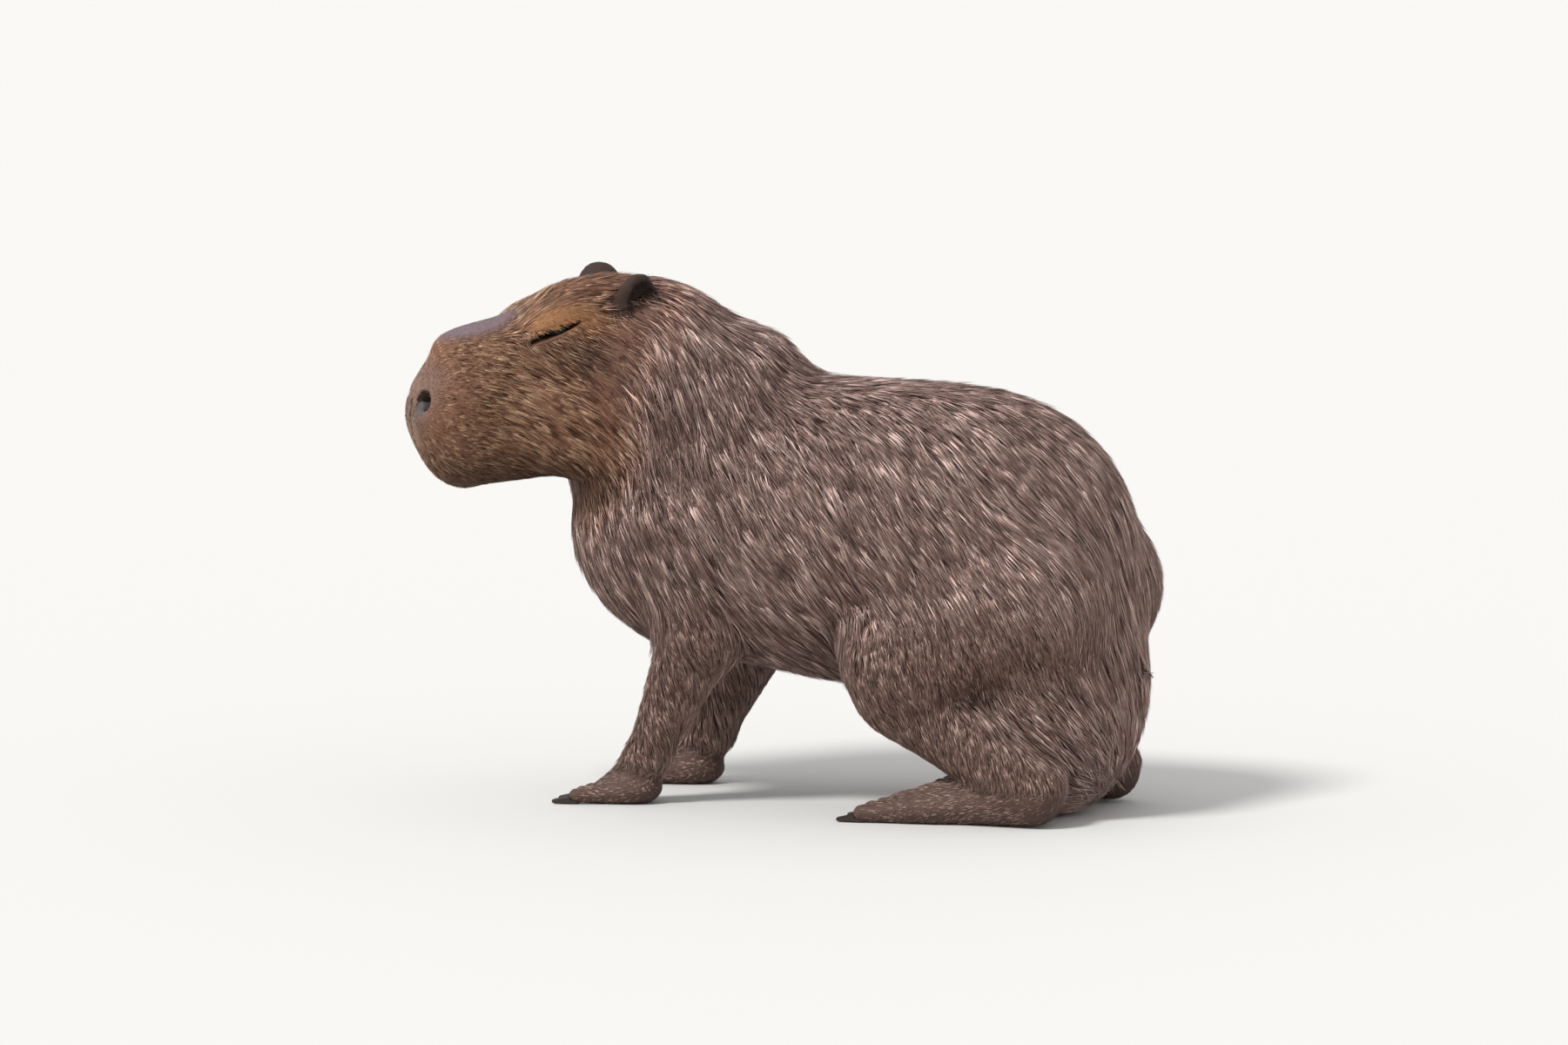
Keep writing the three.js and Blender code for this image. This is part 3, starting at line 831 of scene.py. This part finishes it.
def build_coat(name, roots, stations, frames, widths, colours, kind, material, part):
    """One piece of coat: a closed three-sided tuft for each root."""
    count = len(roots)
    rings = len(kind["widths"])
    each = rings * 3 + 1
    vertices = np.empty((count, each, 3), dtype=np.float32)
    for i, wide in enumerate(kind["widths"]):
        side, out = frames[i]
        half = (widths * wide / 2)[:, None]
        vertices[:, i * 3] = stations[i] - side * half
        vertices[:, i * 3 + 1] = stations[i] + side * half
        vertices[:, i * 3 + 2] = stations[i] + out * half * THICKNESS
    vertices[:, -1] = stations[rings]
    vertices[..., 2] = np.maximum(vertices[..., 2], FLOOR_GAP)
    pattern, sizes = tuft_faces(rings)
    corners = (pattern + each * np.arange(count)[:, None]).ravel()
    mesh = bpy.data.meshes.new(name)
    mesh.vertices.add(count * each)
    mesh.vertices.foreach_set("co", to_metres(vertices.reshape(-1, 3)).astype(np.float32).ravel())
    mesh.loops.add(len(corners))
    mesh.loops.foreach_set("vertex_index", corners.astype(np.int32))
    mesh.polygons.add(len(sizes) * count)
    starts = np.concatenate([[0], np.cumsum(np.tile(sizes, count))[:-1]])
    mesh.polygons.foreach_set("loop_start", starts.astype(np.int32))
    mesh.update(calc_edges=True)
    shade = np.array([kind["shade"][i // 3] for i in range(each)])
    paint(mesh, (colours[:, None, :] * shade[None, :, None]).reshape(-1, 3))
    offsets = np.stack([PATCH * (pattern % 3) / 2, PATCH * (pattern // 3) / rings], axis=-1)
    layer = mesh.uv_layers.new(name="OFBake")
    places = unwrap(part, roots)[:, None, :] + offsets[None]
    layer.data.foreach_set("uv", places.astype(np.float32).ravel())
    make_object(name, mesh, material, ())


# Materials
GRAIN = {"scale": 160, "detail": 3, "range": (0.72, 1.28)}
PORES = {"scale": 420, "detail": 6, "strength": 0.6, "depth": 0.0012}
PLAIN = {"scale": 240, "range": (0.6, 1.5), "specular": 0.25}
SKIN_SHEEN = (0.65, 0.2)
HAIR_SHEEN = (0.5, 0.4)


def node_material(name):
    material = bpy.data.materials.new(name)
    material.use_nodes = True
    nodes = material.node_tree.nodes
    return material, nodes, material.node_tree.links, nodes["Principled BSDF"]


def noise_node(nodes, kind):
    noise = nodes.new("ShaderNodeTexNoise")
    noise.inputs["Scale"].default_value = kind["scale"]
    if "detail" in kind:
        noise.inputs["Detail"].default_value = kind["detail"]
    return noise


def coat_material(name, roughness, specular):
    """The painted colour, made uneven by a fine grain."""
    material, nodes, links, shader = node_material(name)
    colour = nodes.new("ShaderNodeAttribute")
    colour.attribute_name = "coat_colour"
    noise = noise_node(nodes, GRAIN)
    ramp = nodes.new("ShaderNodeMapRange")
    ramp.inputs["To Min"].default_value = GRAIN["range"][0]
    ramp.inputs["To Max"].default_value = GRAIN["range"][1]
    mix = nodes.new("ShaderNodeVectorMath")
    mix.operation = "SCALE"
    links.new(noise.outputs["Fac"], ramp.inputs["Value"])
    links.new(colour.outputs["Color"], mix.inputs[0])
    links.new(ramp.outputs["Result"], mix.inputs["Scale"])
    links.new(mix.outputs["Vector"], shader.inputs["Base Color"])
    shader.inputs["Roughness"].default_value = roughness
    shader.inputs["Specular IOR Level"].default_value = specular
    return material


def skin_material():
    """The coat's colour on skin with pores."""
    material = coat_material("skin", *SKIN_SHEEN)
    nodes = material.node_tree.nodes
    links = material.node_tree.links
    shader = nodes["Principled BSDF"]
    pores = noise_node(nodes, PORES)
    bump = nodes.new("ShaderNodeBump")
    bump.inputs["Strength"].default_value = PORES["strength"]
    bump.inputs["Distance"].default_value = PORES["depth"]
    links.new(pores.outputs["Fac"], bump.inputs["Height"])
    links.new(bump.outputs["Normal"], shader.inputs["Normal"])
    return material


def plain_material(name, colour, roughness, coat=0.0):
    """One colour, darker and lighter by a noise."""
    material, nodes, links, shader = node_material(name)
    noise = noise_node(nodes, PLAIN)
    ramp = nodes.new("ShaderNodeValToRGB")
    for element, strength in zip(ramp.color_ramp.elements, PLAIN["range"]):
        element.color = (*(colour * strength), 1)
    links.new(noise.outputs["Fac"], ramp.inputs["Fac"])
    links.new(ramp.outputs["Color"], shader.inputs["Base Color"])
    shader.inputs["Roughness"].default_value = roughness
    shader.inputs["Specular IOR Level"].default_value = PLAIN["specular"]
    shader.inputs["Coat Weight"].default_value = coat
    return material


# The skin and the coat on it
FLESH = [
    "head", "neck", "torso", "tail", "foreleg_left", "foreleg_right", "hindleg_left", "hindleg_right",
    "ear_left", "ear_right",
]
SKIN_TONE = 0.4
SKIN_SHADE = 0.35

# How far from each form or place the skin's mesh is made finer
HEAD_FROM = -40
FINE = {"head": 30, "eye": 42, "nose": 34, "ear": 44, "mouth": 30, "slit": 5, "foot": 4}
MOUTH_AT = {"x": 100, "z": 360}
FOOT_TOP = 50


def in_head(co):
    q = to_head(co)
    return (q[:, 0] > HEAD_FROM) & (head_local(q) < FINE["head"])


def in_feature(co):
    """Close to an eye, a nostril, the mouth or an ear."""
    q = folded(to_head(co))
    eye = norm(q - EYE_AT) < FINE["eye"]
    nose = norm(q - NOSTRIL_AT) < FINE["nose"]
    mouth = (q[:, 0] > MOUTH_AT["x"]) & (np.abs(q[:, 2] - MOUTH_AT["z"]) < FINE["mouth"])
    ear = norm(q - EAR_AT) < FINE["ear"]
    return in_head(co) & (eye | nose | mouth | ear)


def in_slit(co):
    """Close to the edges of an eye's slit."""
    return in_head(co) & (slit(folded(to_head(co))) < FINE["slit"])


def in_foot(co):
    return (co[:, 2] < FOOT_TOP) & (legs_form(co) < FINE["foot"])


def make_skin(values):
    """The skin, and a copy without the fine cuts for the coat to root in."""
    vertices, faces = polygonise(values)
    mesh = bpy.data.meshes.new("skin")
    mesh.from_pydata(vertices.tolist(), [], faces)
    mesh.update()
    for chosen in (lambda co: in_head(co) | in_foot(co), in_feature, in_slit):
        refine(mesh, chosen)
        settle(mesh, chosen)
    bare = mesh.copy()
    sink(mesh)
    return mesh, bare


def make_coat(values, bare, kind, material, wanted, parts):
    """All the tufts of one kind, in pieces by part, each part with the region that it covers."""
    roots = scattered(bare, kind["count"], wanted)
    r = in_shares(regions, roots)
    length = by_region(r, LENGTH)
    leaders = clumps_of(roots, kind["clump"][0] + kind["clump"][1] * length)
    clump_draw = rng.normal(size=(len(roots), 3))[leaders]
    own_draw = rng.normal(size=(len(roots), 3))
    draw = np.clip(CLUMP_DRAW * clump_draw + OWN_DRAW * own_draw, -DRAW_MOST, DRAW_MOST)
    length = length * (1 + LENGTH_BY * draw[:, 0])
    lift = np.clip(LIFT + LIFT_BY * draw[:, 1], *LIFT_RANGE)
    sway = SWAY_BY * draw[:, 2]
    stations, frames = paths(values, roots, r, length, lift, sway, kind["heights"])
    for i in range(1, len(stations)):
        pull = kind["pull"] * (i / (len(stations) - 1)) ** BEND
        stations[i] = stations[i] + (stations[i][leaders] - stations[i]) * pull
    widths = by_region(r, WIDTH) * rng.uniform(*WIDTH_RANGE, len(roots))
    tone = np.clip(TONE + kind["own"] * own_draw[:, 0] + kind["shared"] * clump_draw[:, 1], 0, 1)
    colours = coat_colour(r, tone)
    left = np.ones(len(roots), dtype=bool)
    for part, region in parts:
        chosen_here = left & (r[region] > MOSTLY) if region else left
        left = left & ~chosen_here
        order = np.flatnonzero(chosen_here)
        order = order[np.argsort(roots[order, 0])]
        for number, chosen in enumerate(np.array_split(order, -(-len(order) // kind["most"]))):
            build_coat(
                f"coat_{part}_{number + 1}",
                roots[chosen],
                [station[chosen] for station in stations],
                [(side[chosen], out[chosen]) for side, out in frames],
                widths[chosen],
                colours[chosen],
                kind,
                material,
                part,
            )


LONG_PARTS = [("leg", "leg"), ("neck", "neck"), ("trunk", "")]
SHORT_PARTS = [("foot", "foot"), ("head", "")]

grid_values = skin_values()
skin_mesh, bare_mesh = make_skin(grid_values)
skin_co = co_of(skin_mesh)
skin_regions = in_shares(regions, skin_co)
paint(skin_mesh, coat_colour(skin_regions, np.full(len(skin_co), SKIN_TONE), SKIN_SHADE))
set_co(skin_mesh, to_metres(skin_co))
make_object("skin", skin_mesh, skin_material(), FLESH)
coat_hair = coat_material("coat", *HAIR_SHEEN)
make_coat(grid_values, bare_mesh, LONG, coat_hair, lambda r: ~short_haired(r), LONG_PARTS)
make_coat(grid_values, bare_mesh, SHORT, coat_hair, short_haired, SHORT_PARTS)
bpy.data.meshes.remove(bare_mesh)

# The eyes and claws, which stay as they are in the solids
KEPT = {
    "eye": plain_material("eye", linear(14, 10, 8), roughness=0.3, coat=0.04),
    "claw": plain_material("claw", linear(46, 38, 32), roughness=0.45),
}
for name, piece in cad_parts.items():
    for kept, material in KEPT.items():
        if kept in name:
            piece.data.materials.clear()
            piece.data.materials.append(material)

# Floor and light
FLOOR_SIZE = 400.0
FLOOR_COLOUR = (0.52, 0.51, 0.49, 1)
FLOOR_ROUGHNESS = 0.9
SKY_COLOUR = (0.97, 0.98, 1.0, 1)
SKY_STRENGTH = 1.0
SUN = {"strength": 3.5, "wide": 14, "turn": (40, -14, -6)}

bpy.ops.mesh.primitive_plane_add(size=FLOOR_SIZE, location=(0, 0, 0))
floor = bpy.context.object
floor.name = "floor"
floor_material, _, _, floor_shader = node_material("floor")
floor_shader.inputs["Base Color"].default_value = FLOOR_COLOUR
floor_shader.inputs["Roughness"].default_value = FLOOR_ROUGHNESS
floor.data.materials.append(floor_material)

world = bpy.data.worlds.new("studio")
bpy.context.scene.world = world
world.use_nodes = True
sky = world.node_tree.nodes["Background"]
sky.inputs["Color"].default_value = SKY_COLOUR
sky.inputs["Strength"].default_value = SKY_STRENGTH

sun_data = bpy.data.lights.new("sun", "SUN")
sun_data.energy = SUN["strength"]
sun_data.angle = math.radians(SUN["wide"])
sun = bpy.data.objects.new("sun", sun_data)
sun.rotation_euler = [math.radians(angle) for angle in SUN["turn"]]
bpy.context.scene.collection.objects.link(sun)

# The camera stands where the photograph was taken from
AZIMUTH = math.radians(22)
ELEVATION = math.radians(6.5)
DISTANCE = 15.0
FRAME_WIDTH = 1.639
SENSOR = 36.0
CLIP_END = 200
AIM = np.array([-24.9, -10.0, 292.5])
level = math.cos(ELEVATION)
back = Vector((math.sin(AZIMUTH) * level, -math.cos(AZIMUTH) * level, math.sin(ELEVATION)))
camera_data = bpy.data.cameras.new("camera")
camera_data.sensor_width = SENSOR
camera_data.lens = SENSOR * DISTANCE / FRAME_WIDTH
camera_data.clip_end = CLIP_END
camera = bpy.data.objects.new("camera", camera_data)
camera.location = Vector(to_metres(AIM)) + back * DISTANCE
camera.rotation_euler = (-back).to_track_quat("-Z", "Y").to_euler()
bpy.context.scene.collection.objects.link(camera)
bpy.context.scene.camera = camera
bpy.context.scene.view_settings.view_transform = "Standard"
